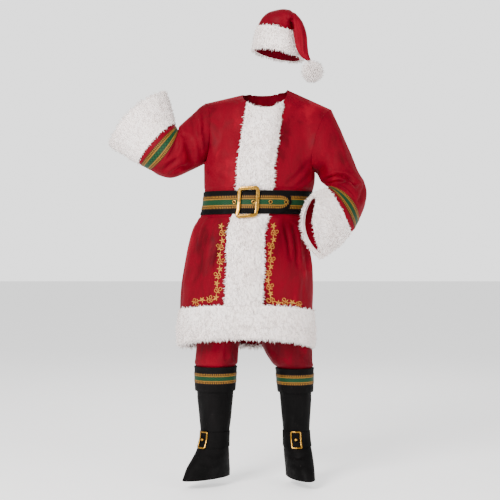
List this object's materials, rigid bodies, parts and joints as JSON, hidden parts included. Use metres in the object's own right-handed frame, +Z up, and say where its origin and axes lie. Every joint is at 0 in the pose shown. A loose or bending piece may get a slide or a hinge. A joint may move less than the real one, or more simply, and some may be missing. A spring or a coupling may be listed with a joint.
{
  "type": "santa suit",
  "caption": "Worn red velour santa suit: long coat with plush trims and a braided belt, sleeves with bell cuffs, trousers, folded hat and black boot covers, hollow and open.",
  "frame": {"origin": "root of the wearer's neck, between the shoulders", "axes": "+Z up, -Y to the front of the suit, +X to the wearer's left"},
  "size_m": [0.9995, 0.5689, 1.8254],
  "materials": {
    "red_velour": "crushed red velour",
    "white_plush": "short white plush",
    "gold_green_braid": "woven gold and green braid",
    "black_velour": "black velour",
    "gold_metal": "polished gold plate"
  },
  "bodies": {
    "root": {"coat_front_right": "red_velour", "coat_front_left": "red_velour", "coat_back": "red_velour", "sleeve_right": "red_velour", "sleeve_left": "red_velour", "trouser_leg_right": "red_velour", "trouser_leg_left": "red_velour", "trouser_waistband": "red_velour", "hat_crown": "red_velour", "front_fur": "white_plush", "hem_fur": "white_plush", "cuff_fur_right": "white_plush", "cuff_fur_left": "white_plush", "hat_fur_band": "white_plush", "hat_pompom": "white_plush", "sleeve_braid_right": "gold_green_braid", "sleeve_braid_left": "gold_green_braid", "belt_braid": "gold_green_braid", "boot_braid_right": "gold_green_braid", "boot_braid_left": "gold_green_braid", "belt_strap": "black_velour", "boot_shaft_right": "black_velour", "boot_shaft_left": "black_velour", "boot_cuff_right": "black_velour", "boot_cuff_left": "black_velour", "boot_strap_right": "black_velour", "boot_strap_left": "black_velour", "belt_buckle": "gold_metal", "belt_eyelet_1": "gold_metal", "belt_eyelet_2": "gold_metal", "belt_eyelet_3": "gold_metal", "belt_eyelet_4": "gold_metal", "boot_buckle_right": "gold_metal", "boot_buckle_left": "gold_metal", "boot_stud_right": "gold_metal", "boot_stud_left": "gold_metal"}
  },
  "joints": []
}
